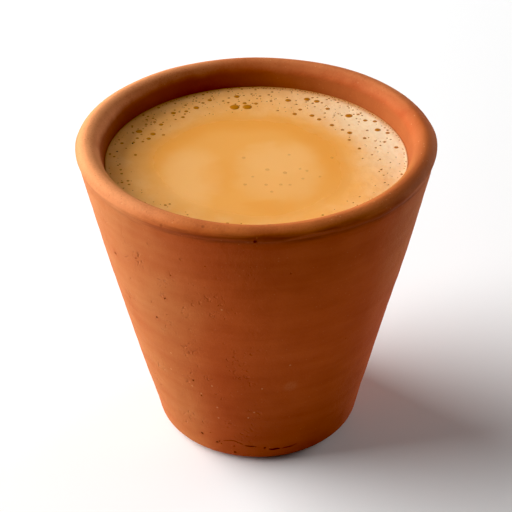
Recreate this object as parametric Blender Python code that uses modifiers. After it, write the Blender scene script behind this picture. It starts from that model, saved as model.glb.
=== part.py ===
# Masala chai in a hand-thrown clay cup. The cup stands on z = 0 with its axis on Z, and the photographed
# side faces -Y. The cup holds the chai, and the froth floats in a ring in the chai's top.

import math
import random

import bmesh
import bpy
from mathutils import Matrix, Vector

MM = 0.001  # the sizes below are in millimetres, and the objects in metres

# Clay cup
CUP_HEIGHT = 75.0
LIP_RADIUS = 40.2  # the widest point of the rolled lip
LIP_THICKNESS = 5.0
LIP_DROP = 1.6  # from the lip's crest down to its widest point
GROOVE_DROP = 2.8  # from the crest down to the shallow groove under the lip
GROOVE_RADIUS = 39.35
SHOULDER_DROP = 3.9  # from the crest down to where the wall proper begins
SHOULDER_RADIUS = 39.6
FOOT_RADIUS = 23.9  # the wall's slant carried on down to the table
FOOT_ROUNDING = 3.4
WALL_THICKNESS = 5.2  # measured level
FLOOR_THICKNESS = 7.0
INNER_CORNER = 7.0
THROWING_PITCH = 6.2  # one turn of the potter's fingers up the wall
THROWING_DEPTH = 0.08
CUP_STEPS = 60
CORNER_POINTS = 6  # points along each rounded corner of the profile
LIP_POINTS = 5  # points along each quarter of the lip

# Chai and froth
CHAI_LEVEL = 68.9
FIT_GAP = 0.3  # clear space between pieces that touch
FROTH_RISE = 0.3  # how far the froth's crown stands above the chai
FROTH_AT_WALL = 1.6  # thickness of the froth at the wall, and at its inner edge
FROTH_AT_POOL = 0.9
FROTH_SHOULDER = 1.5  # how far the froth takes to round up from its inner edge
POOL_LIP = 0.1  # how far the froth's inner edge stands above the chai
POOL_RADIUS = 22.6  # the clear pool of chai inside the ring of froth
POOL_WAVES = ((1, 3.6, -115.0), (2, 0.75, -45.0), (3, 0.75, 52.0), (7, 0.3, 20.0))  # count, height, peak in degrees
FROTH_STEPS = 66
BED_LIFT = 1.0  # the froth's bed is cut out past the chai's top and side
BED_SPREAD = 2.0

# Bubbles that break in the froth's top: angle in degrees from +X, distance from the axis and diameter
LARGE_BUBBLES = (
    (102, 24.5, 2.00), (95, 24.1, 1.90), (41, 28.9, 1.55), (156, 29.6, 1.30),
    (66, 30.0, 1.30), (61, 30.0, 1.25), (23, 30.5, 1.25), (74, 28.0, 1.20),
    (99, 29.4, 1.20), (121, 27.5, 1.20), (155, 26.3, 1.15), (133, 28.6, 1.05),
    (56, 23.5, 1.05), (27, 24.2, 1.05), (112, 29.4, 0.95), (66, 22.4, 0.95),
)
SMALL_BUBBLES = 40
SMALL_BUBBLE_SIZES = (0.6, 0.95)
BUBBLE_SEED = 21
BUBBLE_CLEARANCE = 0.25
BUBBLE_EDGE_ROOM = (2.0, 0.8)  # room that small bubbles leave at the pool and at the wall
FRONT_SHARE = 0.4  # bubbles at the front, against those at the back where the chai was poured in
WALL_CROWDING = 0.6  # below 1, the small bubbles crowd towards the wall
BUBBLE_ROUNDNESS = 0.52  # radius of the sphere that dents the froth, as a share of the bubble's diameter
LARGE_BUBBLE_SIDES = 10
SMALL_BUBBLE_SIDES = 8


def clear_scene():
    for obj in list(bpy.data.objects):
        bpy.data.objects.remove(obj, do_unlink=True)


def new_collection(name):
    collection = bpy.data.collections.new(name)
    bpy.context.scene.collection.children.link(collection)
    return collection


def material(name, colour, roughness, subsurface=0.0):
    made = bpy.data.materials.new(name)
    made.use_nodes = True
    shader = made.node_tree.nodes["Principled BSDF"]
    shader.inputs["Base Color"].default_value = (*colour, 1.0)
    shader.inputs["Roughness"].default_value = roughness
    shader.inputs["Metallic"].default_value = 0.0
    shader.inputs["Subsurface Weight"].default_value = subsurface
    return made


def add_object(name, mesh, collection, finish=None):
    obj = bpy.data.objects.new(name, mesh)
    collection.objects.link(obj)
    if finish:
        mesh.materials.append(finish)
    return obj


def evaluated_mesh(obj):
    """The object's mesh with its modifiers applied."""
    bpy.context.view_layer.update()
    graph = bpy.context.evaluated_depsgraph_get()
    return bpy.data.meshes.new_from_object(obj.evaluated_get(graph))


def turn(name, profile, steps, collection, finish=None, closed=False):
    """A solid of revolution from (radius, height) points in millimetres that run down the outer side."""
    edges = [(i, i + 1) for i in range(len(profile) - 1)]
    if closed:
        edges.append((len(profile) - 1, 0))
    mesh = bpy.data.meshes.new(name)
    mesh.from_pydata([(r * MM, 0.0, z * MM) for r, z in profile], edges, [])
    obj = add_object(name, mesh, collection, finish)
    screw = obj.modifiers.new("turned", "SCREW")
    screw.axis = "Z"
    screw.steps = screw.render_steps = steps
    screw.use_merge_vertices = True
    screw.merge_threshold = 0.00001
    screw.use_smooth_shade = True
    return obj


def arc(centre, radius, start, end, count):
    """Points on an arc from start to end, in degrees, measured from the outward horizontal."""
    points = []
    for i in range(count):
        angle = math.radians(start + (end - start) * i / (count - 1))
        points.append((centre[0] + radius * math.cos(angle), centre[1] + radius * math.sin(angle)))
    return points


def ease(start, end, share):
    """A value that leaves start and reaches end level, like the side of a shallow groove."""
    return start + (end - start) * (1 - math.cos(math.pi * share)) / 2


def wall_slant():
    """Millimetres that the outer wall widens for each millimetre up."""
    return (SHOULDER_RADIUS - FOOT_RADIUS) / (CUP_HEIGHT - SHOULDER_DROP)


def slant_angle():
    return math.degrees(math.atan(wall_slant()))


def outer_radius(z):
    """The outer wall with its faint throwing ridges, which fade out towards the foot and the shoulder."""
    fade = math.sin(math.pi * z / (CUP_HEIGHT - SHOULDER_DROP))
    ridge = THROWING_DEPTH * fade * math.cos(2 * math.pi * z / THROWING_PITCH)
    return FOOT_RADIUS + wall_slant() * z + ridge


def inner_radius(z):
    """The inner wall, parallel to the outer one."""
    return FOOT_RADIUS + wall_slant() * z - WALL_THICKNESS


def lip_profile():
    """The rolled lip from its inner side, over the crest and under to the groove and the shoulder."""
    half = LIP_THICKNESS / 2
    crest = LIP_RADIUS - half
    widest = CUP_HEIGHT - LIP_DROP
    points = []
    for i in range(2 * LIP_POINTS - 1):
        angle = math.pi * (1 - i / (2 * LIP_POINTS - 2))
        points.append((crest + half * math.cos(angle), widest + LIP_DROP * math.sin(angle)))
    groove = CUP_HEIGHT - GROOVE_DROP
    shoulder = CUP_HEIGHT - SHOULDER_DROP
    for i in range(1, LIP_POINTS):
        share = i / (LIP_POINTS - 1)
        points.append((ease(LIP_RADIUS, GROOVE_RADIUS, share), widest + (groove - widest) * share))
    points.append((ease(GROOVE_RADIUS, SHOULDER_RADIUS, 0.5), (groove + shoulder) / 2))
    points.append((SHOULDER_RADIUS, shoulder))
    return points


def corner(radius, height, rounding, start, end):
    """A rounded corner that touches a wall of the cup's slant. The wall stands at radius at that height."""
    centre = (radius - rounding / math.cos(math.radians(slant_angle())), height)
    return arc(centre, rounding, start, end, CORNER_POINTS)


def inner_corner(rounding, start, end):
    """The corner between the cup's inner wall and floor, or one inside it with a smaller rounding."""
    height = FLOOR_THICKNESS + INNER_CORNER
    slack = (INNER_CORNER - rounding) / math.cos(math.radians(slant_angle()))
    return corner(inner_radius(height) - slack, height, rounding, start, end)


def cup_profile():
    """From the middle of the cup's inner floor, over the lip and down to the middle of its foot."""
    top = CUP_HEIGHT - SHOULDER_DROP
    rows = int((top - FOOT_ROUNDING) / (THROWING_PITCH / 2))
    outer_wall = []
    for i in range(1, rows):
        height = THROWING_PITCH / 2 * (rows + 1 - i)
        outer_wall.append((outer_radius(height), height))
    foot = corner(FOOT_RADIUS + wall_slant() * FOOT_ROUNDING, FOOT_ROUNDING, FOOT_ROUNDING, -slant_angle(), -90.0)
    return [
        (0.0, FLOOR_THICKNESS),
        *inner_corner(INNER_CORNER, -90.0, -slant_angle()),
        *lip_profile(),
        *outer_wall,
        *foot,
        (0.0, 0.0),
    ]


def make_cup(collection, finish):
    return turn("clay_cup", cup_profile(), CUP_STEPS, collection, finish)


def pool_edge(angle):
    """Distance from the axis to the froth's inner edge."""
    edge = POOL_RADIUS
    for count, height, peak in POOL_WAVES:
        edge += height * math.cos(count * (angle - math.radians(peak)))
    return edge


def froth_ring(name, collection, grow=0.0, lift=0.0, spread=0.0, finish=None):
    """The ring of froth, with its inner edge still round. It can be grown, raised at the top and spread outwards."""
    wall = inner_radius(CHAI_LEVEL) - FIT_GAP + spread
    top = CHAI_LEVEL + FROTH_RISE
    bottom_at_wall = top - FROTH_AT_WALL - grow
    bottom_at_pool = CHAI_LEVEL + POOL_LIP - FROTH_AT_POOL - grow
    middle = (wall + POOL_RADIUS) / 2
    profile = [
        (POOL_RADIUS - grow, CHAI_LEVEL + POOL_LIP + lift),
        (POOL_RADIUS + FROTH_SHOULDER, top + lift),
        (middle, top + lift),
        (wall, top + lift),
        (wall - wall_slant() * (CHAI_LEVEL - bottom_at_wall), bottom_at_wall),
        (middle, (bottom_at_wall + bottom_at_pool) / 2),
        (POOL_RADIUS - grow, bottom_at_pool),
    ]
    return turn(name, profile, FROTH_STEPS, collection, finish, closed=True)


def shape_pool(ring):
    """The turned ring as a mesh, with its inner edge moved out and in to the pool's real outline."""
    mesh = evaluated_mesh(ring)
    wall = inner_radius(CHAI_LEVEL) - FIT_GAP
    for vertex in mesh.vertices:
        radius = math.hypot(vertex.co.x, vertex.co.y) / MM
        angle = math.atan2(vertex.co.y, vertex.co.x)
        share = max(0.0, (wall - radius) / (wall - POOL_RADIUS))
        moved = (radius + share * (pool_edge(angle) - POOL_RADIUS)) * MM
        vertex.co.x = moved * math.cos(angle)
        vertex.co.y = moved * math.sin(angle)
    ring.modifiers.clear()
    ring.data = mesh
    return ring


def bubbles():
    """(x, y, diameter) of every bubble, the large ones first, the small ones crowding towards the wall."""
    placed = []
    for degrees, distance, size in LARGE_BUBBLES:
        angle = math.radians(degrees)
        placed.append((distance * math.cos(angle), distance * math.sin(angle), size))
    draw = random.Random(BUBBLE_SEED)
    pool_room, wall_room = BUBBLE_EDGE_ROOM
    end = inner_radius(CHAI_LEVEL) - FIT_GAP - wall_room
    wanted = len(placed) + SMALL_BUBBLES
    while len(placed) < wanted:
        angle = draw.uniform(-math.pi, math.pi)
        size = draw.uniform(*SMALL_BUBBLE_SIZES)
        start = pool_edge(angle) + pool_room
        distance = start + (end - start) * draw.random() ** WALL_CROWDING
        kept = draw.random() < FRONT_SHARE + (1 - FRONT_SHARE) * max(0.0, math.sin(angle))
        x = distance * math.cos(angle)
        y = distance * math.sin(angle)
        clear = all(math.hypot(x - u, y - v) > (size + other) / 2 + BUBBLE_CLEARANCE for u, v, other in placed)
        if kept and clear:
            placed.append((x, y, size))
    return placed


def bubble_cutter(collection):
    """Spheres that dent the froth's top where its bubbles are."""
    spheres = bmesh.new()
    smallest_large = min(size for _, _, size in LARGE_BUBBLES)
    for x, y, size in bubbles():
        radius = BUBBLE_ROUNDNESS * size
        above = math.sqrt(radius**2 - (size / 2) ** 2)
        sides = SMALL_BUBBLE_SIDES if size < smallest_large else LARGE_BUBBLE_SIDES
        place = Matrix.Translation(Vector((x, y, CHAI_LEVEL + FROTH_RISE + above)) * MM)
        bmesh.ops.create_uvsphere(
            spheres, u_segments=sides, v_segments=sides - 2, radius=radius * MM, matrix=place
        )
    mesh = bpy.data.meshes.new("bubble_cutter")
    spheres.to_mesh(mesh)
    spheres.free()
    return cutter(add_object("bubble_cutter", mesh, collection))


def cutter(obj):
    obj.hide_render = True
    obj.display_type = "WIRE"
    return obj


def cut(obj, tool):
    modifier = obj.modifiers.new("cut_" + tool.name, "BOOLEAN")
    modifier.operation = "DIFFERENCE"
    modifier.solver = "EXACT"
    modifier.object = tool


def make_froth(collection, cutters, finish):
    froth = shape_pool(froth_ring("froth", collection, finish=finish))
    cut(froth, bubble_cutter(cutters))


def make_chai(collection, cutters, finish):
    """The drink, from just above the cup's floor up to its level, with a bed sunk into it for the froth."""
    profile = [
        (0.0, CHAI_LEVEL),
        (inner_radius(CHAI_LEVEL) - FIT_GAP, CHAI_LEVEL),
        *inner_corner(INNER_CORNER - FIT_GAP, -slant_angle(), -90.0),
        (0.0, FLOOR_THICKNESS + FIT_GAP),
    ]
    chai = turn("chai", profile, CUP_STEPS, collection, finish)
    bed = shape_pool(froth_ring("froth_bed", cutters, grow=FIT_GAP, lift=BED_LIFT, spread=BED_SPREAD))
    cut(chai, cutter(bed))


def main():
    clear_scene()
    model = new_collection("masala_chai")
    cutters = new_collection("cutters")
    clay = material("fired_clay", (0.50, 0.20, 0.09), 0.85)
    tea = material("milky_chai", (0.72, 0.42, 0.17), 0.25, subsurface=0.3)
    foam = material("chai_froth", (0.86, 0.66, 0.42), 0.5, subsurface=0.3)
    make_cup(model, clay)
    make_chai(model, cutters, tea)
    make_froth(model, cutters, foam)


main()
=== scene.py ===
# Masala chai in a hand-thrown clay cup: the looks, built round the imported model
import math
import random

import bpy
from mathutils import Matrix, Vector, noise


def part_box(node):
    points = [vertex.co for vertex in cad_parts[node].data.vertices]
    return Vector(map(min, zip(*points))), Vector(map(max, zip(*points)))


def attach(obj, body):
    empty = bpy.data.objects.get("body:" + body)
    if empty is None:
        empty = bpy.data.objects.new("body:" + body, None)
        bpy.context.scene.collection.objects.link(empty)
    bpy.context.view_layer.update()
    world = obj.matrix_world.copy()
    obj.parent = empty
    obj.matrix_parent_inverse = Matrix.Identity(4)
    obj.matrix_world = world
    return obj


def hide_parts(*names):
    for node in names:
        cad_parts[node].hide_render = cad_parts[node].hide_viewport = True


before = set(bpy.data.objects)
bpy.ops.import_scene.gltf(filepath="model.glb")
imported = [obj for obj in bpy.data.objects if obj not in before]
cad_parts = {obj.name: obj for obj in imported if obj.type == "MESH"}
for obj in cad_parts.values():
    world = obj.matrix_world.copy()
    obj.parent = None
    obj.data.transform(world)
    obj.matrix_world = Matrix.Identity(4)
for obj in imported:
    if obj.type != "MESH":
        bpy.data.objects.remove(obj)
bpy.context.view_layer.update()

mm = 0.001  # places and sizes below are in millimetres unless they say otherwise
cupHigh = Vector(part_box("clay_cup")[1]) / mm
chaiHigh = Vector(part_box("chai")[1]) / mm
frothLow, frothHigh = [Vector(corner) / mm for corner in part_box("froth")]
print("frame loaded: cup", cupHigh)


# Small helpers for modelling

def deselectAll():
    if bpy.context.object and bpy.context.object.mode != "OBJECT":
        bpy.ops.object.mode_set(mode="OBJECT")
    bpy.ops.object.select_all(action="DESELECT")


def makeActive(piece):
    deselectAll()
    piece.select_set(True)
    bpy.context.view_layer.objects.active = piece


def turnBody(name, profile, sides, closed=False):
    # a circle extruded ring by ring up and down the profile of (radius, height) points
    deselectAll()
    radius, height = profile[0]
    bpy.ops.mesh.primitive_circle_add(vertices=sides, radius=radius * mm, location=(0, 0, height * mm))
    body = bpy.context.object
    body.name = name
    bpy.ops.object.transform_apply(location=True)
    bpy.ops.object.mode_set(mode="EDIT")
    bpy.ops.mesh.select_all(action="SELECT")
    if not closed:
        bpy.ops.mesh.extrude_region_move()
        bpy.ops.mesh.merge(type="CENTER")  # the middle of the first flat end
        selectRing(body, height, radius)
    for nextRadius, nextHeight in profile[1:]:
        bpy.ops.mesh.extrude_region_move(
            TRANSFORM_OT_translate={"value": (0, 0, (nextHeight - height) * mm)})
        ratio = nextRadius / radius
        bpy.ops.transform.resize(value=(ratio, ratio, 1))
        radius, height = nextRadius, nextHeight
    if closed:
        bpy.ops.mesh.select_all(action="DESELECT")
        bpy.ops.mesh.select_non_manifold()
        bpy.ops.mesh.bridge_edge_loops()
    else:
        bpy.ops.mesh.extrude_region_move()
        bpy.ops.mesh.merge(type="CENTER")
    bpy.ops.mesh.select_all(action="SELECT")
    bpy.ops.mesh.normals_make_consistent(inside=False)
    bpy.ops.object.mode_set(mode="OBJECT")
    return body


def selectRing(body, height, radius):
    # selects the ring of vertices at that height and radius, and nothing else
    bpy.ops.mesh.select_all(action="DESELECT")
    bpy.ops.object.mode_set(mode="OBJECT")
    for vertex in body.data.vertices:
        place = vertex.co / mm
        vertex.select = abs(place.z - height) < 1e-3 and abs(place.xy.length - radius) < 1e-2
    bpy.ops.object.mode_set(mode="EDIT")
    bpy.ops.mesh.select_mode(type="VERT")
    bpy.ops.mesh.select_mode(type="EDGE")


def roundOff(piece, levels):
    makeActive(piece)
    smooth = piece.modifiers.new("smooth", "SUBSURF")
    smooth.levels = smooth.render_levels = levels
    bpy.ops.object.modifier_apply(modifier=smooth.name)


def joinPieces(name, pieces):
    makeActive(pieces[0])
    for piece in pieces:
        piece.select_set(True)
    if len(pieces) > 1:
        bpy.ops.object.join()
    joined = bpy.context.object
    joined.name = name
    bpy.ops.object.transform_apply(location=True, rotation=True, scale=True)
    return joined


def cutWith(piece, cutter):
    makeActive(piece)
    cut = piece.modifiers.new("cut", "BOOLEAN")
    cut.operation = "DIFFERENCE"
    cut.solver = "EXACT"
    cut.object = cutter
    bpy.ops.object.modifier_apply(modifier=cut.name)
    bpy.data.objects.remove(cutter)


def finishPiece(piece, node, material):
    makeActive(piece)
    bpy.ops.object.shade_smooth_by_angle(angle=math.radians(50))
    piece.data.materials.clear()
    piece.data.materials.append(material)
    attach(piece, "root")
    if node:
        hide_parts(node)


def polar(degrees, radius, height):
    angle = math.radians(degrees)
    return Vector((radius * math.cos(angle), radius * math.sin(angle), height))


def ease(start, end, share):
    return start + (end - start) * (1 - math.cos(math.pi * share)) / 2


def fadeIn(value, low, high):
    share = min(max((value - low) / (high - low), 0.0), 1.0)
    return share * share * (3 - 2 * share)


# Camera, floor and light

view = {
    "lens": 108.17,  # mm, for a sensor 36 mm wide
    "distance": 360.0,
    "elevation": 33.47,  # degrees above the horizon
    "targetHeight": 42.4,
    "roll": -0.41,  # degrees
    "shiftX": -0.00195,
}


def addToScene(name, data):
    piece = bpy.data.objects.new(name, data)
    bpy.context.scene.collection.objects.link(piece)
    return piece


def aimed(place, direction):
    # the matrix of a camera or lamp that stands there and faces that way
    return Matrix.Translation(place) @ direction.to_track_quat("-Z", "Y").to_matrix().to_4x4()


def makeCamera():
    tilt = math.radians(view["elevation"])
    target = Vector((0, 0, view["targetHeight"])) * mm
    place = target + Vector((0, -math.cos(tilt), math.sin(tilt))) * view["distance"] * mm
    lens = bpy.data.cameras.new("camera")
    lens.lens = view["lens"]
    lens.sensor_width = 36
    lens.shift_x = view["shiftX"]
    lens.clip_start = 0.01
    camera = addToScene("camera", lens)
    roll = Matrix.Rotation(math.radians(view["roll"]), 4, "Z")
    camera.matrix_world = aimed(place, target - place) @ roll
    bpy.context.scene.camera = camera


studio = {
    "floorSize": 6.0,  # metres, as the lights' sizes and places are
    "floorColour": (0.88, 0.88, 0.88),
    "lightDistance": 1.05,
    # the angle from +X and above the floor in degrees, the width and height, and the power of each light
    "softboxes": {
        "keySoftbox": (165, 20.5, 1.25, 0.77, 31.0),
        "topSoftbox": (165, 62, 0.70, 0.55, 2.4),
        "fillSoftbox": (15, 16, 0.60, 0.40, 1.8),
        "rimSoftbox": (38, 5, 0.50, 0.15, 6.5),
    },
    "worldStrength": 0.06,
    "blackLevel": 0.009,
}


def makeFloor():
    deselectAll()
    bpy.ops.mesh.primitive_plane_add(size=studio["floorSize"], location=(0, 0, 0))
    floor = bpy.context.object
    floor.name = "floor"
    paint = bpy.data.materials.new("floor")
    paint.use_nodes = True
    shader = paint.node_tree.nodes["Principled BSDF"]
    shader.inputs["Base Color"].default_value = (*studio["floorColour"], 1)
    shader.inputs["Roughness"].default_value = 0.95
    shader.inputs["Specular IOR Level"].default_value = 0.1
    floor.data.materials.append(paint)


def makeSoftbox(name, around, above, width, height, power):
    lamp = bpy.data.lights.new(name, "AREA")
    lamp.shape = "RECTANGLE"
    lamp.size = width
    lamp.size_y = height
    lamp.energy = power
    flat = math.cos(math.radians(above))
    away = polar(around, flat, math.sin(math.radians(above)))
    place = Vector((0, 0, cupHigh.z / 2 * mm)) + away * studio["lightDistance"]
    addToScene(name, lamp).matrix_world = aimed(place, -away)


def makeSurroundings():
    world = bpy.data.worlds.new("studio")
    bpy.context.scene.world = world
    world.use_nodes = True
    background = world.node_tree.nodes["Background"]
    background.inputs["Color"].default_value = (1, 1, 1, 1)
    background.inputs["Strength"].default_value = studio["worldStrength"]
    display = bpy.context.scene.view_settings
    display.view_transform = "Standard"
    display.look = "None"
    display.use_curve_mapping = True
    display.curve_mapping.black_level = [studio["blackLevel"]] * 3
    display.curve_mapping.update()


makeCamera()
makeFloor()
for name, settings in studio["softboxes"].items():
    makeSoftbox(name, *settings)
makeSurroundings()
print("camera, floor and light made")


# Shader maths as Python sums

class Wire:
    def __init__(self, finish, socket):
        self.finish = finish
        self.socket = socket

    def maths(self, operation, *others):
        return self.finish.add("ShaderNodeMath", {"operation": operation}, [self, *others]).out()

    def __add__(self, other):
        return self.maths("ADD", other)

    __radd__ = __add__

    def __sub__(self, other):
        return self.maths("SUBTRACT", other)

    def __rsub__(self, other):
        return self.maths("MULTIPLY_ADD", -1.0, other)

    def __mul__(self, other):
        return self.maths("MULTIPLY", other)

    __rmul__ = __mul__

    def __truediv__(self, other):
        return self.maths("DIVIDE", other)

    def __pow__(self, other):
        return self.maths("POWER", other)

    def cosine(self):
        return self.maths("COSINE")

    def atLeast(self, other):
        return self.maths("MAXIMUM", other)

    def between(self, low, high):
        # 0 below low, 1 above high, smooth between; low may be the higher of the two
        node = self.finish.add(
            "ShaderNodeMapRange", {"interpolation_type": "SMOOTHSTEP", "clamp": True}, {
                "Value": self, "From Min": min(low, high), "From Max": max(low, high),
                "To Min": 0.0 if low < high else 1.0, "To Max": 1.0 if low < high else 0.0})
        return node.out("Result")


class Added:
    # a node just added to a finish, with its outputs as wires
    def __init__(self, finish, node):
        self.finish = finish
        self.node = node

    def out(self, name=0):
        return Wire(self.finish, self.node.outputs[name])


class Finish:
    # one material, built up node by node
    def __init__(self, name):
        self.material = bpy.data.materials.new(name)
        self.material.use_nodes = True
        self.tree = self.material.node_tree
        self.shader = self.tree.nodes["Principled BSDF"]
        self.shader.inputs["Metallic"].default_value = 0
        coordinates = self.add("ShaderNodeTexCoord", {}, {}).out("Object")
        self.place = self.vector("SCALE", coordinates, Scale=1 / mm)  # the place on the piece in millimetres

    def add(self, kind, settings, sockets):
        node = self.tree.nodes.new(kind)
        for name, value in settings.items():
            setattr(node, name, value)
        pairs = sockets.items() if isinstance(sockets, dict) else enumerate(sockets)
        for name, value in pairs:
            self.join(node.inputs[name], value)
        return Added(self, node)

    def join(self, socket, value):
        if isinstance(value, Wire):
            self.tree.links.new(value.socket, socket)
        elif isinstance(value, tuple) and socket.type == "RGBA":
            socket.default_value = (*value, 1)
        else:
            socket.default_value = value

    def vector(self, operation, first, second=None, **more):
        sockets = {0: first, **more}
        if second is not None:
            sockets[1] = second
        return self.add("ShaderNodeVectorMath", {"operation": operation}, sockets).out()

    def axes(self):
        split = self.add("ShaderNodeSeparateXYZ", {}, {"Vector": self.place})
        return split.out("X"), split.out("Y"), split.out("Z")

    def noise(self, size, detail=2.0, roughness=0.5, stretch=(1, 1, 1), distortion=0.0, offset=0.0):
        # soft random pattern, from 0 to 1, with features of about that size in millimetres
        place = self.vector("MULTIPLY", self.place, tuple(s / size for s in stretch))
        if offset:
            place = self.vector("ADD", place, (offset, offset, offset))
        return self.add("ShaderNodeTexNoise", {}, {
            "Vector": place, "Scale": 1.0, "Detail": detail, "Roughness": roughness,
            "Distortion": distortion}).out("Fac")

    def grains(self, size, offset=0.0):
        # a spot in each cell of that size: its distance from the cell's point, and a random number
        place = self.vector("SCALE", self.place, Scale=1 / size)
        place = self.vector("ADD", place, (offset, offset, offset))
        node = self.add("ShaderNodeTexVoronoi", {}, {"Vector": place, "Scale": 1.0})
        chance = self.add("ShaderNodeSeparateColor", {}, {0: node.out("Color")}).out(0)
        return node.out("Distance"), chance

    def spot(self, centre, size):
        # 1 at the centre, fading to 0 at that distance
        gap = self.add("ShaderNodeVectorMath", {"operation": "DISTANCE"}, {0: self.place, 1: tuple(centre)})
        return gap.out("Value").between(size, size * 0.35)

    def mix(self, share, first, second):
        node = self.add("ShaderNodeMix", {"data_type": "RGBA"}, {"Factor": share})
        self.join(node.node.inputs[6], first)
        self.join(node.node.inputs[7], second)
        return Wire(self, node.node.outputs[2])

    def attribute(self, name):
        return self.add("ShaderNodeAttribute", {"attribute_name": name}, {}).out("Fac")

    def bump(self, layers):
        # stacks (height, depth in millimetres) layers into one normal
        normal = None
        for height, depth in layers:
            sockets = {"Strength": 1.0, "Distance": depth * mm, "Height": height}
            if normal:
                sockets["Normal"] = normal
            normal = self.add("ShaderNodeBump", {}, sockets).out("Normal")
        return normal

    def wear(self, **sockets):
        # sets the shader's own sockets; an underscore in a name stands for a space
        for name, value in sockets.items():
            self.join(self.shader.inputs[name.replace("_", " ")], value)
        return self.material


def facing(angle, side, uneven=0.0):
    # 1 where the surface lies towards that side of the cup, fading to 0 away from it
    degrees, low, high = side
    return ((angle - math.radians(degrees)).cosine() + uneven).between(low, high)


# Clay cup

cup = {
    "sides": 90,
    "levels": 2,
    "lipThickness": 5.0,
    "lipDrop": 1.6,  # from the crest down to the widest point
    "lipInnerDrop": 3.4,  # from the crest down to where the inner wall starts
    "lipBevel": 1.15,  # above 1 the lip's slopes are flatter than round
    "lipPoints": 12,
    "grooveDrop": 3.0,
    "grooveRadius": 39.58,
    "grooveSteps": (0.33, 0.66, 1.0),
    "shoulderDrop": 4.4,
    "shoulderRadius": 39.45,
    "frontDip": (0.42, -91.0, 26.0),  # the lip sags here: how deep, where and how wide in degrees
    "dipDepths": (9.0, 3.5),  # the sag grows from nothing to all of it over these depths below the top
    "crestDips": (0.12, 0.05),  # how far the crest's small dips go down and in
    "footRadius": 23.9,  # the wall's slant carried on down to the table
    "footRounding": 3.7,
    "footPoints": 7,
    "footRim": 3.0,  # the flat ring under the foot, and the radius of the ring inside it
    "underRing": 8.0,
    "wall": 5.2,
    "innerCorner": 7.0,
    "innerFloor": 7.0,
    "innerPoints": 5,
    "innerHeights": (30, 48, 60, 65, 68),
    "floorRings": (4.0, 9.0),
    "rowHeight": 2.5,
    "lean": 0.22,  # the foot lies this far to the right of the mouth
    "sway": (-0.36, 24.0, 24.0),  # the lower half stands to the left: how far, at what height, how tall
    "bulges": ((0.26, 49.0, 13.0), (-0.26, 7.0, 8.0)),  # the same of the wall's fuller and leaner heights
    "grooveFill": (0.75, -165.0),  # how much shallower the groove is at that angle, on the left
    "wobble": 0.12,
    "smallWobble": 0.035,
    "reliefStart": (0.2, 3.0),  # the heights over which the wall's relief fades in above the foot
    "lipWave": 0.7,  # how unevenly the lip's lower edge runs, and over which depths below the top
    "waveDepths": ((6.5, 4.0), (0.6, 2.0)),
    "ridgeDrift": 1.5,
    "ridges": ((6.2, 0.022, 0.3), (3.7, 0.012, 1.9)),  # pitch, height and phase of the throwing ridges
}
slant = (cup["shoulderRadius"] - cup["footRadius"]) / (cupHigh.z - cup["shoulderDrop"])
slantAngle = math.atan(slant)


def wallRadius(height):
    return cup["footRadius"] + slant * height


def belowTop(height, start, end):
    # 0 at the first depth below the lip's top, 1 at the second, smooth between
    return fadeIn(height, cupHigh.z - start, cupHigh.z - end)


def cornerPoints(radius, height, rounding, start, end, count):
    # a rounded corner that touches a slanted wall standing at that radius at that height
    centre = radius - rounding / math.cos(slantAngle)
    points = []
    for i in range(count):
        angle = start + (end - start) * i / (count - 1)
        points.append((centre + rounding * math.cos(angle), height + rounding * math.sin(angle)))
    return points


def cupProfile():
    # from the inner floor over the lip to the foot
    top = cupHigh.z
    half = cup["lipThickness"] / 2
    crest = cupHigh.x - half
    widest = top - cup["lipDrop"]
    innerHeight = cup["innerFloor"] + cup["innerCorner"]
    down = -math.pi / 2
    points = [(radius, cup["innerFloor"]) for radius in cup["floorRings"]]
    points += cornerPoints(
        wallRadius(innerHeight) - cup["wall"], innerHeight, cup["innerCorner"], down, -slantAngle,
        cup["innerPoints"])
    innerReach = crest - wallRadius(top - cup["lipInnerDrop"]) + cup["wall"]
    for height in cup["innerHeights"]:
        points.append((wallRadius(height) - cup["wall"], height))
    for i in range(cup["lipPoints"] + 1):
        angle = math.pi * (1 - i / cup["lipPoints"])
        across = abs(math.cos(angle)) ** cup["lipBevel"]
        up = abs(math.sin(angle)) ** cup["lipBevel"]
        if angle > math.pi / 2:
            points.append((crest - innerReach * across, top - cup["lipInnerDrop"] * (1 - up)))
        else:
            points.append((crest + half * across, top - cup["lipDrop"] * (1 - up)))
    groove = top - cup["grooveDrop"]
    shoulder = top - cup["shoulderDrop"]
    for share in cup["grooveSteps"]:
        radius = ease(cupHigh.x, cup["grooveRadius"], share)
        points.append((radius, widest + (groove - widest) * share))
    points.append((ease(cup["grooveRadius"], cup["shoulderRadius"], 0.5), (groove + shoulder) / 2))
    points.append((cup["shoulderRadius"], shoulder))
    rows = int((shoulder - cup["footRounding"]) / cup["rowHeight"])
    for i in range(1, rows):
        height = shoulder - (shoulder - cup["footRounding"]) * i / rows
        points.append((wallRadius(height), height))
    rounding = cup["footRounding"]
    foot = cornerPoints(wallRadius(rounding), rounding, rounding, -slantAngle, down, cup["footPoints"])
    return points + foot + [(foot[-1][0] - cup["footRim"], 0.0), (cup["underRing"], 0.0)]


def lipSag(degrees, height):
    depth, middle, width = cup["frontDip"]
    return depth * math.exp(-((degrees - middle) / width) ** 2) * belowTop(height, *cup["dipDepths"])


def sideways(height):
    # how far the cup's axis lies to the right at that height
    far, middle, tall = cup["sway"]
    return cup["lean"] * (1 - height / cupHigh.z) + far * math.exp(-((height - middle) / tall) ** 2)


def wallNoise(angle, fineness, height=0.0):
    # soft random pattern round the wall, from about -1 to 1, finer round it as the fineness grows
    return noise.noise(Vector((math.cos(angle) * fineness, math.sin(angle) * fineness, height)))


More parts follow.
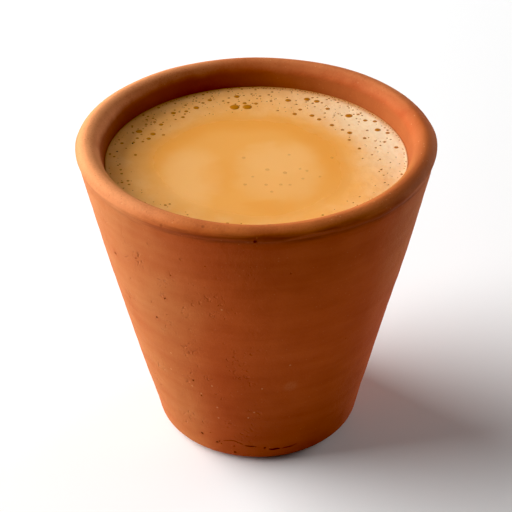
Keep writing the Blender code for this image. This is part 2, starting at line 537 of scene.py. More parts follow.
def throwingRelief(angle, height):
    # how far the outer wall stands out, from the potter's fingers and the uneven hand
    drift = cup["ridgeDrift"] * wallNoise(angle, 1.3, height * 0.03)
    turn = angle / (2 * math.pi)
    relief = 0.0
    for pitch, depth, phase in cup["ridges"]:
        strength = 0.6 + wallNoise(angle, 0.8, height * 0.06 + phase * 7)
        relief += depth * strength * math.cos(2 * math.pi * ((height + drift) / pitch + turn) + phase)
    relief += cup["wobble"] * wallNoise(angle, 1.1, height * 0.022 + 4.0)
    relief += cup["smallWobble"] * wallNoise(angle, 5, height * 0.16)
    for far, middle, tall in cup["bulges"]:
        relief += far * math.exp(-((height - middle) / tall) ** 2)
    return relief


def shapeByHand(body):
    # fits the smoothed body to the frame's size again, then gives it the marks of the wheel and the hand
    top = max(vertex.co.z for vertex in body.data.vertices) / mm
    widest = max(vertex.co.xy.length for vertex in body.data.vertices) / mm
    for vertex in body.data.vertices:
        place = vertex.co / mm
        place.z *= cupHigh.z / top
        radius = place.xy.length * cupHigh.x / widest
        angle = math.atan2(place.y, place.x)
        outside = radius > wallRadius(place.z) - cup["wall"] / 2
        belowLip = 1 - belowTop(place.z, 2 * cup["shoulderDrop"], cup["lipDrop"])
        if outside:
            radius += throwingRelief(angle, place.z) * belowLip * fadeIn(place.z, *cup["reliefStart"])
            radius = fillGroove(angle, radius, place.z)
        if place.z > cupHigh.z - cup["shoulderDrop"]:
            dip = max(0.5 + wallNoise(angle, 2.2, 3.1), 0)
            down, inwards = cup["crestDips"]
            place.z -= down * dip
            radius -= inwards * dip
        if outside:
            lower, upper = cup["waveDepths"]
            edge = belowTop(place.z, *lower) * belowTop(place.z, *upper)
            place.z += cup["lipWave"] * wallNoise(angle, 4.0, 8.4) * edge
        degrees = math.degrees(angle)
        vertex.co = polar(degrees, radius, place.z - lipSag(degrees, place.z)) * mm
        vertex.co.x += sideways(place.z) * mm


def fillGroove(angle, radius, height):
    # on the left the lip runs down into the wall with hardly a groove
    widest = cupHigh.z - cup["lipDrop"]
    shoulder = cupHigh.z - cup["shoulderDrop"]
    if not shoulder < height < widest:
        return radius
    share, middle = cup["grooveFill"]
    share *= fadeIn(math.cos(angle - math.radians(middle)), 0.3, 0.9)
    straight = cupHigh.x + (cup["shoulderRadius"] - cupHigh.x) * (widest - height) / (widest - shoulder)
    return radius + share * max(0.0, straight - radius)


marks = {
    # angle in degrees from +X, height, and width of each dent or pit
    "pits": (
        (-147.6, 56.3, 0.9), (-119.4, 59.0, 0.5), (-124.0, 51.0, 0.6), (-130.9, 43.2, 0.7),
        (-133.9, 59.8, 0.5), (-147.3, 43.7, 0.6), (-121.4, 6.7, 0.8), (-103.2, 4.9, 0.7),
        (-103.0, 2.8, 0.7), (-86.4, 4.8, 0.8), (-113.0, 5.1, 0.9), (-90.5, 72.7, 1.2),
        (-116.2, 21.3, 0.5), (-119.0, 26.0, 0.6), (-111.4, 5.8, 0.5), (-110.4, 5.0, 0.4),
    ),
    "stainedPits": 9,  # the first so many have a darker rim
    "pitDepth": 0.35,  # share of its width
    "strayPits": 34,
    "pitSpacing": 2.0,
    "strayHeights": (3, 68),
    "strayWidths": (0.25, 0.5),
    "seed": 5,
    "crackSwell": (0.35, 0.85, 0.75),  # a stroke's width at its ends, what its middle gains, its pinch
    "crackStanding": 0.02,
    # the broken crack in the clay near the foot: the width of each stroke and its (angle, height) points
    "cracks": (
        (0.34, ((-108.9, 6.4), (-107.5, 6.7), (-106.0, 6.8), (-104.5, 7.0), (-103.0, 7.0), (-101.7, 6.7),
                (-100.4, 6.5), (-98.4, 6.0))),
        (0.50, ((-97.1, 5.6), (-95.8, 5.5), (-94.5, 5.4), (-92.8, 5.4), (-91.1, 5.3))),
        (0.62, ((-84.1, 4.3), (-82.6, 4.1), (-81.0, 4.1), (-79.4, 4.2), (-78.1, 4.0))),
        (0.44, ((-77.1, 4.0), (-76.0, 4.2), (-74.4, 4.1), (-72.5, 4.2), (-70.7, 4.2), (-68.7, 4.8))),
    ),
}


def onWall(degrees, height, standing=0.0):
    # a place on the outer wall, or standing off it by that much
    lowered = max(0.0, cup["footRounding"] - height)
    inset = cup["footRounding"] - math.sqrt(max(cup["footRounding"] ** 2 - lowered ** 2, 0.0))
    radius = wallRadius(height) - inset
    radius += throwingRelief(math.radians(degrees), height) * fadeIn(height, *cup["reliefStart"]) + standing
    place = polar(degrees, radius, height - lipSag(degrees, height))
    place.x += sideways(height)
    return place


def makePitCutter():
    draw = random.Random(marks["seed"])
    pits = list(marks["pits"])
    wanted = len(pits) + marks["strayPits"]
    while len(pits) < wanted:
        degrees, height = draw.uniform(-180, 180), draw.uniform(*marks["strayHeights"])
        place = onWall(degrees, height)
        if all((place - onWall(other[0], other[1])).length > marks["pitSpacing"] for other in pits):
            pits.append((degrees, height, draw.uniform(*marks["strayWidths"])))
    balls = []
    for degrees, height, width in pits:
        deselectAll()
        bpy.ops.mesh.primitive_ico_sphere_add(
            subdivisions=2, radius=width / 2 * mm,
            location=onWall(degrees, height, width * (0.5 - marks["pitDepth"])) * mm,
            rotation=[draw.uniform(0, 3) for axis in range(3)])
        ball = bpy.context.object
        ball.scale = (1, draw.uniform(0.7, 1.2), draw.uniform(0.6, 1.0))
        balls.append(ball)
    return joinPieces("pitCutter", balls)


def makeCrackCutter():
    strokes = []
    ends, swell, pinch = marks["crackSwell"]
    for width, stroke in marks["cracks"]:
        curve = bpy.data.curves.new("crack", "CURVE")
        curve.dimensions = "3D"
        curve.bevel_depth = width / 2 * mm
        curve.bevel_resolution = 1
        curve.use_fill_caps = True
        line = curve.splines.new("NURBS")
        line.points.add(len(stroke) - 1)
        line.use_endpoint_u = True
        line.order_u = 3
        for i, (degrees, height) in enumerate(stroke):
            along = 0.08 + 0.84 * (i / (len(stroke) - 1))
            line.points[i].co = (*(onWall(degrees, height, marks["crackStanding"]) * mm), 1)
            line.points[i].radius = ends + swell * math.sin(math.pi * along) * (1 if i % 2 else pinch)
        makeActive(addToScene("crack", curve))
        bpy.ops.object.convert(target="MESH")
        bpy.ops.object.mode_set(mode="EDIT")
        bpy.ops.mesh.select_all(action="SELECT")
        bpy.ops.mesh.remove_doubles(threshold=0.000001)
        bpy.ops.object.mode_set(mode="OBJECT")
        strokes.append(bpy.context.object)
    return joinPieces("crackCutter", strokes)


clay = {
    "deep": (0.335, 0.053, 0.0095),
    "middle": (0.435, 0.083, 0.0165),
    "flashAndLightDeep": (0.37, 0.097, 0.023),
    "flashAndLight": (0.42, 0.148, 0.044),  # the paler, dustier side of the firing, and painted light where the light falls on the left
    "inside": (0.35, 0.092, 0.022),
    "insideDeep": (0.29, 0.066, 0.014),
    "lip": (0.42, 0.104, 0.024),
    # the lip's front, dusty and crest colours are paler for painted light
    "lipFrontLit": (0.68, 0.180, 0.036),
    "lipDustAndLight": (0.62, 0.230, 0.084),
    "lipCrestHighlight": (0.98, 0.400, 0.160),
    # the stain colour serves real stains and painted shade
    "stainAndShade": (0.13, 0.022, 0.003),
    "cavityShade": (0.07, 0.012, 0.002),
    "pale": (0.66, 0.34, 0.14),
    "soaked": (0.54, 0.225, 0.045),
    # where each patch lies: its middle in degrees from +X, and the cosines at which it starts and is full
    "sides": {
        "flashAndLight": (198, 0.48, 1.0), "paintedRightSheen": (-18, 0.86, 1.0), "dustyAndLit": (168, 0.0, 0.9),
        "backDust": (60, 0.6, 0.95), "frontLit": (-85, 0.55, 0.9), "paintedShade": (168, 0.85, 1.0),
        "lipRightShade": (-22, 0.93, 1.0), "soaked": (-90, 0.1, 0.8), "frontRightShade": (-62, 0.45, 0.95),
        "groove": (-72, 0.62, 0.95), "chipped": (198, 0.1, 0.5),
    },
    # the depths below the top, and the distances from the wall's slant, at which it starts and is full
    "depths": {
        "inside": (0.8, 3.2), "lip": (2.3, 0.6), "crest": (1.2, 0.25), "streakShadeLow": (4.4, 3.4),
        "streakShadeHigh": (0.8, 1.8), "soaked": (3.0, 1.8), "grooveShadeLow": (4.3, 3.0), "grooveShadeHigh": (1.2, 2.2),
        "chipped": (5, 9),
    },
    "reaches": {
        "inside": (-2.8, -4.4), "outside": (-2.6, -1.6), "crest": (-4.4, -3.2), "soaked": (-3.3, -4.3),
    },
    # heights above the table at which the painted sheen at the right edge and the painted shade on the
    # front-right start and are full
    "paintedRightSheenHeights": (30, 66),
    "frontRightShadeHeights": ((38, 8), (46, 70)),
    # how strongly each one covers what is under it
    "shares": {
        "paintedRightSheen": 0.7, "paintedShade": 0.35, "backDust": 0.3, "lipRightShade": 0.12, "streak": 0.45, "soaked": 0.75,
        "frontRightShade": 0.30, "groove": 0.54, "spot": 0.45, "pitRim": 0.3, "dent": 0.9, "smudge": 0.1, "speck": 0.4,
    },
    # angle, distance from the axis and height of the small dark spots on the lip
    "lipSpots": ((-86.0, 37.0, 74.3), (-91.8, 37.6, 74.0), (-106.2, 39.0, 74.4), (-119.1, 40.1, 73.2)),
    "spotSize": 0.5,
    "pitRim": 2.5,  # the stained ring's reach, in widths of the pit
    "smudge": (-75.3, 26.4, 2.2),
    "specks": (
        (-102.2, 51.8), (-87.8, 26.4), (-76.5, 33.6), (-109.1, 18.5), (-110.0, 25.8), (-116.2, 22.1),
        (-120.4, 23.8), (-131.0, 26.6), (-91.5, 18.1), (-94.4, 16.1), (-109.4, 14.7), (-128.2, 32.7),
    ),
    "speckSize": 0.32,
    "dentDepths": (0.04, 0.16),
    "roughness": 0.84,
    "gloss": 0.15,
    "relief": (0.05, 0.02, 0.18, 0.10, 0.16),  # depths of the grain, sand, blotches, pocks and chips
}


def clayFinish():
    f = Finish("firedClay")
    x, y, z = f.axes()
    angle = y.maths("ARCTAN2", x)
    standing = (x * x + y * y) ** 0.5 - z * slant - cup["footRadius"]  # 0 on the outer wall, less inside it
    cloud = f.noise(26, detail=3)
    blotch = f.noise(7, detail=4, offset=3)
    grain = f.noise(0.45, detail=3, roughness=0.7)

    def deepAt(height, name):
        start, full = clay["depths"][name]
        return height.between(cupHigh.z - start, cupHigh.z - full)

    def side(name, uneven=0.0):
        return facing(angle, clay["sides"][name], uneven)

    def reach(name):
        return standing.between(*clay["reaches"][name])

    # covers with one of the colours above, for stains and for painted shade
    def covered(mask, name, colour, stainAndShade="stainAndShade"):
        return f.mix(mask * clay["shares"][name], colour, clay[stainAndShade])

    streak = f.noise(2.4, detail=3, stretch=(0.10, 0.10, 1), offset=9)
    tone = (cloud * 0.45 + blotch * 0.35 + streak * 0.35 + grain * 0.25).between(0.45, 0.95)
    # paler towards the right edge, at mid height: a painted sheen
    paintedRightSheen = side("paintedRightSheen") * z.between(*clay["paintedRightSheenHeights"])
    # paler on the left, where the light falls: painted light, with the firing's paler side
    flashedAndLit = side("flashAndLight", (cloud - 0.5) * 0.3).atLeast(paintedRightSheen * clay["shares"]["paintedRightSheen"])
    body = f.mix(tone, clay["deep"], clay["middle"])
    colour = f.mix(flashedAndLit, body, f.mix(tone, clay["flashAndLightDeep"], clay["flashAndLight"]))

    # the darker inside, with painted shade on its left, and the dusty lip, with painted light on its lit
    # side, front and crest and painted shade on its right
    within = reach("inside") * deepAt(z, "inside")
    colour = f.mix(within, colour, f.mix(tone, clay["insideDeep"], clay["inside"]))
    # painted shade on the inner wall's left side, away from the light
    colour = covered(within * side("paintedShade"), "paintedShade", colour)
    # the lip is paler on its lit left side, dust and painted light, and at the front, painted light
    dustyAndLit = side("dustyAndLit").atLeast(side("backDust") * clay["shares"]["backDust"])
    frontLit = side("frontLit")
    lip = deepAt(z + dustyAndLit * 0.6 + (blotch - 0.5) * 1.6, "lip")
    dustAndLight = lip * (0.35 + (grain * 0.6 + blotch * 0.7).between(0.35, 0.85) * 0.45)
    lipColour = f.mix(dustyAndLit, f.mix(frontLit, clay["lip"], clay["lipFrontLit"]), clay["lipDustAndLight"])
    colour = f.mix(dustAndLight, colour, lipColour)
    # a painted highlight along the crest, mostly on the lit left side
    crest = deepAt(z, "crest") * reach("crest") * (dustyAndLit * 0.8 + frontLit * 0.2)
    colour = f.mix(crest * (0.55 + (grain - 0.5) * 0.5), colour, clay["lipCrestHighlight"])
    # painted shade on the lip's right side, away from the light
    colour = covered(lip * side("lipRightShade"), "lipRightShade", colour)

    # stains of tea, and painted shade: the streaks under the lip are partly painted shade, the front-right
    # side is painted shade, and the groove under the lip is dirt and painted shade
    rubbed = f.noise(0.55, detail=3, stretch=(0.07, 0.07, 1), offset=2)
    # dark streaks on the lip's underside, away from the light: streaks, and painted shade
    streakedAndShaded = rubbed.between(0.42, 0.62) * deepAt(z, "streakShadeLow") * deepAt(z, "streakShadeHigh") * (1 - dustyAndLit)
    colour = covered(streakedAndShaded * reach("outside"), "streak", colour)
    colour = covered(reach("soaked") * deepAt(z, "soaked") * side("soaked"), "soaked", colour, "soaked")
    # painted shade on the front-right side, darker towards the foot and towards the lip
    low, high = clay["frontRightShadeHeights"]
    frontRightShade = z.between(*low).atLeast(z.between(*high) * 0.8)
    colour = covered(frontRightShade * side("frontRightShade"), "frontRightShade", colour)
    # dirt and painted shade in the groove under the lip, on the front
    groove = deepAt(z + (blotch - 0.5), "grooveShadeLow") * deepAt(z, "grooveShadeHigh") * reach("outside")
    colour = covered(groove * side("groove"), "groove", colour)

    # grains, chalky specks, dark spots and the painted shade in pits and cracks
    distance, chance = f.grains(0.9)
    paleGrain = distance.between(0.24, 0.08) * chance.between(0.84, 0.9)
    darkDistance, darkChance = f.grains(0.7, offset=5)
    darkGrain = darkDistance.between(0.28, 0.10) * darkChance.between(0.70, 0.8)
    colour = f.mix(paleGrain * (lip * 0.35 + 0.12), colour, clay["pale"])
    colour = f.mix(darkGrain * (lip * 0.25 + 0.25), colour, clay["deep"])
    degrees, height, size = clay["smudge"]
    chalk = f.spot(onWall(degrees, height), size) * (blotch * 0.5 + grain).between(0.4, 0.9)
    chalk = chalk * clay["shares"]["smudge"]
    for degrees, height in clay["specks"]:
        speck = f.spot(onWall(degrees, height), clay["speckSize"])
        chalk = chalk.atLeast(speck * clay["shares"]["speck"])
    colour = f.mix(chalk, colour, clay["pale"])
    for degrees, radius, height in clay["lipSpots"]:
        colour = covered(f.spot(polar(degrees, radius, height), clay["spotSize"]), "spot", colour)
    broken = (blotch + grain).between(0.7, 1.2)
    for degrees, height, size in marks["pits"][:marks["stainedPits"]]:
        rim = f.spot(onWall(degrees, height), size * clay["pitRim"])
        colour = covered(rim * broken, "pitRim", colour, "deep")
    # painted shade in pits and cracks, darker the deeper they go
    colour = covered(f.attribute("dentDepth").between(*clay["dentDepths"]), "dent", colour, "cavityShade")

    rough = clay["roughness"] + (grain - 0.5) * 0.2 - lip * 0.06
    sand = f.noise(0.16, detail=1)
    pocked = f.noise(2.2, detail=4, roughness=0.6, offset=7)
    patch = f.noise(6, detail=2, offset=11).between(0.50, 0.62) * side("chipped") * deepAt(z, "chipped")
    chips = f.noise(1.1, detail=2, roughness=0.5, offset=13).between(0.56, 0.72) * patch
    normal = f.bump(zip((grain, sand, blotch, pocked, 1 - chips), clay["relief"]))
    return f.wear(
        Base_Color=colour, Roughness=rough, Normal=normal, Specular_IOR_Level=clay["gloss"])


def markDents(body):
    # how deep each point lies under the wall's own surface, in millimetres, for the painted shade in pits and
    # cracks
    depth = body.data.attributes.new("dentDepth", "FLOAT", "POINT")
    for vertex in body.data.vertices:
        place = vertex.co / mm
        place.x -= sideways(place.z)
        if cup["footRounding"] < place.z < cupHigh.z - 2 * cup["shoulderDrop"]:
            angle = math.atan2(place.y, place.x)
            surface = wallRadius(place.z) + throwingRelief(angle, place.z)
            below = surface - place.xy.length
            if below < cup["wall"] / 2:
                depth.data[vertex.index].value = max(0.0, below)


def makeCup():
    body = turnBody("clayCup", cupProfile(), cup["sides"])
    roundOff(body, cup["levels"])
    shapeByHand(body)
    cutWith(body, makePitCutter())
    cutWith(body, makeCrackCutter())
    markDents(body)
    finishPiece(body, "clay_cup", clayFinish())
    print("clay cup made:", len(body.data.polygons), "faces")


makeCup()


# Chai and froth

chai = {
    "level": chaiHigh.z,
    "poolRadius": 22.6,
    "poolWaves": ((1, 3.6, -115.0), (2, 0.75, -45.0), (3, 0.75, 52.0), (7, 0.3, 20.0)),  # count, height, peak
    "reachIntoWall": 0.25,
    "dish": 0.4,  # how much the froth climbs towards the wall
    "dishStart": 23.0,
    "sunk": 0.09,  # how far the still pool lies below the solid's top
    "crown": 0.18,  # how much the froth's middle rises above the pool
    "crownReach": (1.5, 7),  # from inside the pool's edge to outside it
    "crownEnd": 28.0,
    "climb": (0.12, 0.7),  # the skin of drink on the wall: how high and how wide
    "overlap": 2.6,  # how far the froth's thin edge reaches in under the pool's surface
    "poolRings": 11,
    "frothRings": 15,
    "bedStart": (1.2, 2.4, 3.2, 3.8),  # steps outwards from the pool's edge, down into the froth's bed
    "sideHeights": (50.0, 30.0),
    "underRing": 8.0,
    "sides": 90,
}
wallAtLevel = wallRadius(chai["level"]) - cup["wall"]

bubbleRule = {
    # angle in degrees from +X, distance from the axis and diameter, as the solids have them
    "large": (
        (102, 24.5, 2.00), (95, 24.1, 1.90), (41, 28.9, 1.55), (156, 29.6, 1.30),
        (66, 30.0, 1.30), (61, 30.0, 1.25), (23, 30.5, 1.25), (74, 28.0, 1.20),
        (99, 29.4, 1.20), (121, 27.5, 1.20), (155, 26.3, 1.15), (133, 28.6, 1.05),
        (56, 23.5, 1.05), (27, 24.2, 1.05), (112, 29.4, 0.95), (66, 22.4, 0.95),
    ),
    # more of the bubbles that the near side shows, each in its place
    "seen": (
        (53, 28.2, 0.95), (96, 25.9, 0.9), (50, 23.0, 0.94), (40, 23.0, 0.93), (145, 27.0, 0.93),
        (30, 32.0, 0.93), (33, 30.4, 0.93), (19, 32.0, 0.92), (160, 26.3, 0.91), (6.5, 31.9, 0.91),
        (90, 25.6, 0.83), (127, 27.4, 0.83), (65, 24.8, 0.83), (132, 25.7, 0.82), (32, 23.6, 0.81),
        (168, 31.3, 0.80), (18.5, 26.2, 0.80), (9, 23.7, 0.79), (116, 28.8, 0.72), (145, 28.9, 0.70),
        (39, 30.9, 0.70), (153, 24.0, 0.69), (162, 28.7, 0.69), (20, 22.7, 0.69), (177, 27.3, 0.68),
        (12, 30.0, 0.68), (88, 29.2, 0.6), (84, 29.9, 0.6), (124, 29.9, 0.6), (177.5, 33.0, 0.56),
    ),
    "tiny": 360,
    "tinySizes": (0.26, 0.62),
    "tinyMargins": (1.5, 0.45),  # how far the tiny bubbles keep from the pool and from the wall
    "wallBeads": 80,  # the smallest bubbles, in a broken row along the far wall
    "beadSpread": (-20, 150, 45),  # from, to and most at these angles
    "beadSizes": (0.22, 0.40),
    "seed": 33,
    "clearance": 0.12,
    # faint bubbles out in the pool: x, y and diameter
    "pool": (
        (-2.8, 0.1, 0.55), (2.4, -5.3, 0.60), (6.3, -6.7, 0.60), (7.4, 1.3, 0.45), (17.0, -0.2, 0.50),
        (-2.5, -11.7, 0.50), (2.1, -11.8, 0.50), (3.3, -14.8, 0.45), (5.3, -11.8, 0.50), (-0.8, -8.3, 0.40),
        (9.7, -5.0, 0.40), (11.2, -5.9, 0.45), (10.2, -9.3, 0.40), (7.3, -11.9, 0.45), (14.0, -8.5, 0.40),
    ),
    "poolStrength": 0.16,
    "poolSpread": 1.4,
    "filmStrength": (0.68, 0.95),  # of the smallest and the largest bubbles
    "filmRise": 0.18,  # how high a film stands, as a share of a half ball
    "filmSpread": 1.2,  # how far a film reaches over its bubble's rim
    # dark grains of spice on the froth: angle, distance from the axis and size
    "specks": ((175.4, 31.5, 0.45), (167.2, 28.9, 0.46)),
}


def poolEdge(angle):
    edge = chai["poolRadius"]
    for count, height, peak in chai["poolWaves"]:
        edge += height * math.cos(count * (angle - math.radians(peak)))
    return edge


def shapePool(body, keepWall):
    # moves the pool's edge in and out to its real outline, and the rings near it less and less
    for vertex in body.data.vertices:
        radius = vertex.co.xy.length / mm
        angle = math.atan2(vertex.co.y, vertex.co.x)
        share = max(0.0, (keepWall - radius) / (keepWall - chai["poolRadius"]))
        share = min(share, max(radius / chai["poolRadius"], 0.0))
        moved = radius + share * (poolEdge(angle) - chai["poolRadius"])
        height = vertex.co.z
        vertex.co = polar(math.degrees(angle), moved, 0) * mm
        vertex.co.z = height


def surfaceHeight(x, y):
    # the top of the drink, pool and froth in one: flat, a little uneven, crowned where the froth lies
    radius = math.hypot(x, y)
    edge = poolEdge(math.atan2(y, x))
    inwards, outwards = chai["crownReach"]
    crown = chai["crown"] * fadeIn(radius, edge - inwards, edge + outwards)
    crown *= 1 - 0.6 * fadeIn(radius, chai["crownEnd"], wallAtLevel)
    still = 0.02 * noise.noise(Vector((x, y, 2)) * 0.18)
    dish = chai["dish"] * fadeIn(radius, chai["dishStart"], wallAtLevel + 3)
    uneven = 0.05 * noise.noise(Vector((x, y, 0)) * 0.35) + 0.025 * noise.noise(Vector((x, y, 5)) * 1.3)
    high, wide = chai["climb"]
    climb = high * fadeIn(radius, wallAtLevel - wide, wallAtLevel + 0.1)
    uneven *= fadeIn(radius, edge, edge + 4)
    return chai["level"] - chai["sunk"] + crown + dish + still + uneven + climb


def frothHeight(x, y):
    # the froth's own top, which slips in under the pool's surface at its thin inner edge
    radius = math.hypot(x, y)
    edge = poolEdge(math.atan2(y, x))
    return surfaceHeight(x, y) + 0.015 * (2 * fadeIn(radius, edge - 2.4, edge + 2.0) - 1)


def allBubbles():
    placed = []
    for degrees, distance, size in bubbleRule["large"] + bubbleRule["seen"]:
        place = polar(degrees, distance, 0)
        placed.append((place.x, place.y, size))
    draw = random.Random(bubbleRule["seed"])
    wanted = len(placed) + bubbleRule["tiny"]
    while len(placed) < wanted:
        angle = draw.uniform(-math.pi, math.pi)
        low, high = bubbleRule["tinySizes"]
        size = low + (high - low) * draw.random() ** 2
        fromPool, fromWall = bubbleRule["tinyMargins"]
        start, end = poolEdge(angle) + fromPool, wallAtLevel - fromWall
        distance = start + (end - start) * draw.random() ** 0.5
        kept = draw.random() < 0.35 + 0.65 * max(0.0, math.sin(angle))
        x, y = distance * math.cos(angle), distance * math.sin(angle)
        if kept and isFree(x, y, size, placed):
            placed.append((x, y, size))
    wanted += bubbleRule["wallBeads"]
    while len(placed) < wanted:
        angle = math.radians(draw.triangular(*bubbleRule["beadSpread"]))
        size = draw.uniform(*bubbleRule["beadSizes"])
        distance = wallAtLevel - size * 0.55 - 0.12 - 0.5 * draw.random() ** 2
        x, y = distance * math.cos(angle), distance * math.sin(angle)
        if isFree(x, y, size, placed):
            placed.append((x, y, size))
    return placed


def isFree(x, y, size, placed):
    gap = bubbleRule["clearance"]
    return all(math.hypot(x - u, y - v) > (size + other) / 2 + gap for u, v, other in placed)


def makeBubbleCutter(bubbles):
    balls = []
    for x, y, size in bubbles:
        deselectAll()
        sides = 16 if size > 0.9 else 10
        sink = size * (0.2 if size > 0.7 else 0.3)
        bpy.ops.mesh.primitive_uv_sphere_add(
            segments=sides, ring_count=sides // 2 + 1, radius=size * 0.52 * mm,
            location=Vector((x, y, frothHeight(x, y) + sink)) * mm)
        balls.append(bpy.context.object)
    return joinPieces("bubbleCutter", balls)


def markBubbles(froth):
    # how deep each point lies under the uncut surface, in millimetres, for the colour of the bubbles
    depth = froth.data.attributes.new("bubbleDepth", "FLOAT", "POINT")
    for vertex in froth.data.vertices:
        place = vertex.co / mm
        depth.data[vertex.index].value = max(0.0, frothHeight(place.x, place.y) - place.z)


drink = {
    "froth": (0.91, 0.450, 0.140),
    "frothWarm": (0.88, 0.405, 0.100),
    "litCream": (0.97, 0.770, 0.520),
    "litCreamAngle": 20,
    "pool": (0.91, 0.415, 0.096),
    "poolPale": (0.95, 0.485, 0.155),
    "poolDeep": (0.88, 0.365, 0.066),
    "bubble": (0.52, 0.170, 0.018),
    "film": (0.58, 0.208, 0.014),
    # the colour of the painted shade cast by the wall
    "wallShade": (0.50, 0.200, 0.050),
    "wallShadeSide": (78, 0.1, 0.75),
    "shadedSide": (168, 0.72, 1.0),
    "rimSide": (80, -0.95, 0.1),
    "wallShadeReach": (1.9, 0.1),  # from the wall
    "shadedReach": (20.5, 30),  # from the axis
    "wallShadeShare": 0.85,
    "shadedShare": 0.3,
    "bubbleShare": 0.85,
    "bubbleDepths": (0.01, 0.10),
    "roughness": 0.26,
    "filmRoughness": 0.3,
    "filmGloss": 0.12,
    # the look of milk, on the shader's own sockets
    "milk": {
        "Subsurface_Weight": 0.12, "Subsurface_Scale": 1.2 * mm, "Subsurface_Radius": (1.0, 0.6, 0.3),
        "Specular_IOR_Level": 0.3},
    "spiceDark": (0.02, 0.006, 0.002),
    "spicePale": (0.07, 0.025, 0.008),
    # soft pale and deep clouds in the pool: x, y, width, length and strength
    "paleClouds": (
        (5.0, -1.5, 10.5, 10.5, 1.0), (5.0, -8.0, 11.5, 13.0, 0.75), (-14.5, -8.5, 8.5, 15.0, 1.0),
    ),
    "deepClouds": ((-8.0, -8.0, 5.0, 9.0, 0.4), (3.3, -21.5, 7.0, 4.0, 0.5)),
}


def drinkSurface(f):
    # one rule of colour, relief and roughness for the chai and the froth, so that no seam shows
    x, y, z = f.axes()
    radius = (x * x + y * y) ** 0.5
    angle = y.maths("ARCTAN2", x)
    edge = chai["poolRadius"]
    for count, height, peak in chai["poolWaves"]:
        edge = (angle * count - count * math.radians(peak)).cosine() * height + edge
    swirl = f.noise(11, detail=3, roughness=0.55, distortion=0.6)
    wisp = f.noise(3.2, detail=3, distortion=0.4, offset=4)
    warped = radius - edge + (swirl - 0.5) * 4 + (wisp - 0.5) * 1.4
    frothy = warped.between(-3.5, 3.5)
    pale = swirl.between(0.62, 0.85) * 0.25
    for cx, cy, wide, long, strength in drink["paleClouds"]:
        pale = pale.atLeast(cloudAt(x, y, swirl, cx, cy, wide, long) * strength)
    pool = f.mix(pale, drink["pool"], drink["poolPale"])
    rim = warped.between(-9, -3.5) * facing(angle, drink["rimSide"]) * 0.95
    pool = f.mix(rim * (1 - pale * 0.7), pool, drink["poolDeep"])
    for cx, cy, wide, long, strength in drink["deepClouds"]:
        pool = f.mix(cloudAt(x, y, swirl, cx, cy, wide, long) * strength, pool, drink["poolDeep"])
    # the froth is creamier towards the right wall: cream, and painted light where the light falls
    towardsLitCream = (angle - math.radians(drink["litCreamAngle"])).cosine() * 0.5 + 0.5
    litCream = warped.between(-1.5, 13.0) * (towardsLitCream ** 7 * 0.92 + 0.06)
    foam = f.mix(wisp.between(0.35, 0.7), drink["frothWarm"], drink["froth"])
    foam = f.mix(litCream, foam, drink["litCream"])
    colour = f.mix(frothy, pool, foam)
    # painted shade where the back wall meets the drink
    start, end = drink["wallShadeReach"]
    wallShade = (radius + (wisp - 0.5) * 1.2).between(wallAtLevel - start, wallAtLevel - end)
    wallShade = wallShade * facing(angle, drink["wallShadeSide"]) * drink["wallShadeShare"]
    colour = f.mix(wallShade, colour, drink["wallShade"])
    # painted shadow of the lip over the froth on the left
    shade = facing(angle, drink["shadedSide"]) * radius.between(*drink["shadedReach"])
    colour = f.mix(shade * drink["shadedShare"], colour, drink["wallShade"])
    fine, chance = f.grains(0.55)
    mottled = f.noise(1.1, detail=3, roughness=0.6)
    colour = f.mix((mottled - 0.5).between(0.0, 0.22) * 0.25 * frothy, colour, drink["frothWarm"])
    speck = fine.between(0.30, 0.12) * chance.between(0.86, 0.92) * frothy
    colour = f.mix(speck * 0.3, colour, drink["bubble"])
    ripple = f.noise(9, detail=1)
    normal = f.bump([(ripple, 0.06), (mottled * frothy, 0.04), (fine * frothy, 0.012)])
    return colour, normal, drink["roughness"] + frothy * 0.1


def cloudAt(x, y, swirl, cx, cy, wide, long):
    across = (x - cx + (swirl - 0.5) * 10) / wide
    along = (y - cy + (swirl - 0.5) * -8) / long
    return (across * across + along * along).between(1.1, 0.1)


def chaiFinish():
    f = Finish("milkyChai")
    colour, normal, rough = drinkSurface(f)
    return f.wear(Base_Color=colour, Roughness=rough, Normal=normal, **drink["milk"])


def frothFinish():
    f = Finish("chaiFroth")
    colour, normal, rough = drinkSurface(f)
    depth = f.attribute("bubbleDepth").between(*drink["bubbleDepths"])
    colour = f.mix(depth * drink["bubbleShare"], colour, drink["bubble"])
    return f.wear(Base_Color=colour, Roughness=rough - depth * 0.16, Normal=normal, **drink["milk"])


def filmFinish():
    # the thin amber skins of the bubbles
    f = Finish("bubbleFilm")
    return f.wear(
        Base_Color=drink["film"], Roughness=drink["filmRoughness"], Alpha=f.attribute("filmDepth"),
        Specular_IOR_Level=drink["filmGloss"])


def speckFinish():
    f = Finish("spiceSpeck")
    shade = f.noise(0.3, detail=2)
    return f.wear(Base_Color=f.mix(shade, drink["spiceDark"], drink["spicePale"]), Roughness=0.7)


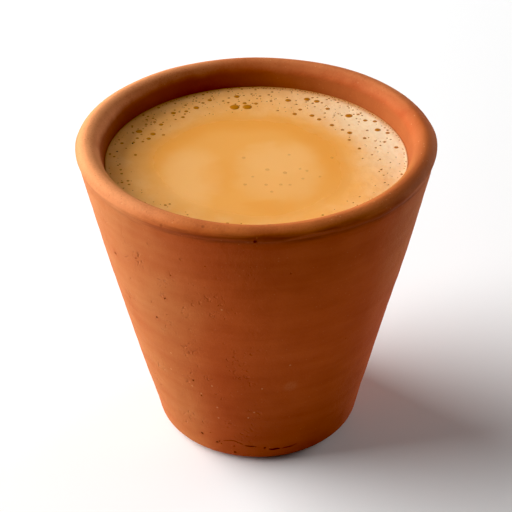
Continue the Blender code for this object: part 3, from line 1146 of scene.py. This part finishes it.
def makeChai():
    # a solid from the cup's floor to its level, sunk a little where the froth lies on it
    level = chai["level"]
    pool = chai["poolRadius"]
    wall = wallAtLevel + chai["reachIntoWall"]
    bed = frothLow.z + 0.25
    height = cup["innerFloor"] + cup["innerCorner"]
    rings = chai["poolRings"]
    first, second, third, fourth = chai["bedStart"]
    points = [(pool * i / rings, level) for i in range(1, rings + 1)]
    points += [(pool + first, level), (pool + second, level)]
    points += [(pool + third, bed + 0.3), (pool + fourth, bed)]
    points += [(wall - 0.4, bed), (wall - slant * (level - bed), bed - 0.3)]
    points += [(wall - slant * (level - side), side) for side in chai["sideHeights"]]
    inner = cornerPoints(
        wallRadius(height) - cup["wall"], height, cup["innerCorner"], -slantAngle, -math.pi / 2,
        cup["innerPoints"])
    points += inner + [(chai["underRing"], inner[-1][1])]
    body = turnBody("chaiBody", points, chai["sides"])
    shapePool(body, wallAtLevel)
    roundOff(body, 2)
    for vertex in body.data.vertices:
        place = vertex.co / mm
        if place.z > level - 0.3:
            vertex.co.z = (surfaceHeight(place.x, place.y) - (level - place.z)) * mm
    finishPiece(body, "chai", chaiFinish())
    print("chai made:", len(body.data.polygons), "faces")


def makeFroth(bubbles):
    pool = chai["poolRadius"]
    wall = wallAtLevel + chai["reachIntoWall"]
    top = frothHigh.z
    low = frothLow.z
    start = pool - chai["overlap"]
    rings = chai["frothRings"]
    points = [(start + (wall - start) * i / (rings - 1), top) for i in range(rings)]
    points += [(wall + 0.02, top - 0.5), (wall - slant * (top - low), low + 0.15)]
    points += [((wall + pool) / 2, low + 0.4), (pool + 1.5, top - 1.2), (start + 0.5, top - 0.8)]
    body = turnBody("frothRing", points, chai["sides"], closed=True)
    shapePool(body, wallAtLevel)
    roundOff(body, 2)
    for vertex in body.data.vertices:
        place = vertex.co / mm
        if place.z > top - 0.45:
            vertex.co.z = (frothHeight(place.x, place.y) - (top - place.z)) * mm
    cutWith(body, makeBubbleCutter(bubbles))
    markBubbles(body)
    finishPiece(body, "froth", frothFinish())
    print("froth made:", len(bubbles), "bubbles,", len(body.data.polygons), "faces")


def makeDome(sides):
    # a flat dome one millimetre across, with a short skirt below its rim
    deselectAll()
    bpy.ops.mesh.primitive_uv_sphere_add(segments=sides, ring_count=sides // 2 + 2, radius=mm / 2)
    dome = bpy.context.object
    bpy.ops.object.mode_set(mode="EDIT")
    bpy.ops.mesh.select_all(action="SELECT")
    bpy.ops.mesh.bisect(plane_co=(0, 0, -0.18 * mm), plane_no=(0, 0, 1), clear_inner=True, use_fill=True)
    bpy.ops.object.mode_set(mode="OBJECT")
    dome.data.attributes.new("filmDepth", "FLOAT", "POINT")
    return dome


def makeBubbleFilms(bubbles):
    # a dome over each bubble, and the faint ones out in the pool
    domes = {sides: makeDome(sides) for sides in (16, 10)}
    faintest, strongest = bubbleRule["filmStrength"]
    everyFilm = []
    for x, y, size in bubbles:
        # films are more opaque on the left, so the bubbles there are darker: painted shade
        paintedShade = 0.85 - 0.15 * math.cos(math.atan2(y, x) - math.radians(drink["litCreamAngle"]))
        strength = faintest + (strongest - faintest) * fadeIn(size, 0.5, 1.5)
        everyFilm.append((x, y, size, paintedShade * strength))
    for x, y, size in bubbleRule["pool"]:
        everyFilm.append((x, y, size * bubbleRule["poolSpread"], bubbleRule["poolStrength"]))
    films = []
    for x, y, size, strength in everyFilm:
        makeActive(domes[16 if size > 0.9 else 10])
        bpy.ops.object.duplicate()
        film = bpy.context.object
        film.location = Vector((x, y, surfaceHeight(x, y))) * mm
        wide = size * bubbleRule["filmSpread"]
        film.scale = (wide, wide, size * bubbleRule["filmRise"])
        for point in film.data.attributes["filmDepth"].data:
            point.value = strength
        films.append(film)
    for dome in domes.values():
        bpy.data.objects.remove(dome)
    body = joinPieces("bubbleFilms", films)
    finishPiece(body, None, filmFinish())
    print("bubble films made:", len(films))


def makeSpiceSpecks():
    specks = []
    for degrees, distance, size in bubbleRule["specks"]:
        deselectAll()
        place = polar(degrees, distance, 0)
        place.z = frothHeight(place.x, place.y) + size * 0.15
        bpy.ops.mesh.primitive_ico_sphere_add(
            subdivisions=2, radius=size / 2 * mm, location=place * mm, rotation=(degrees, distance, 0))
        speck = bpy.context.object
        speck.scale = (1.0, 0.75, 0.6)
        specks.append(speck)
    body = joinPieces("spiceSpecks", specks)
    finishPiece(body, None, speckFinish())
    print("spice specks made:", len(specks))


makeChai()
bubbles = allBubbles()
makeFroth(bubbles)
makeBubbleFilms(bubbles)
makeSpiceSpecks()
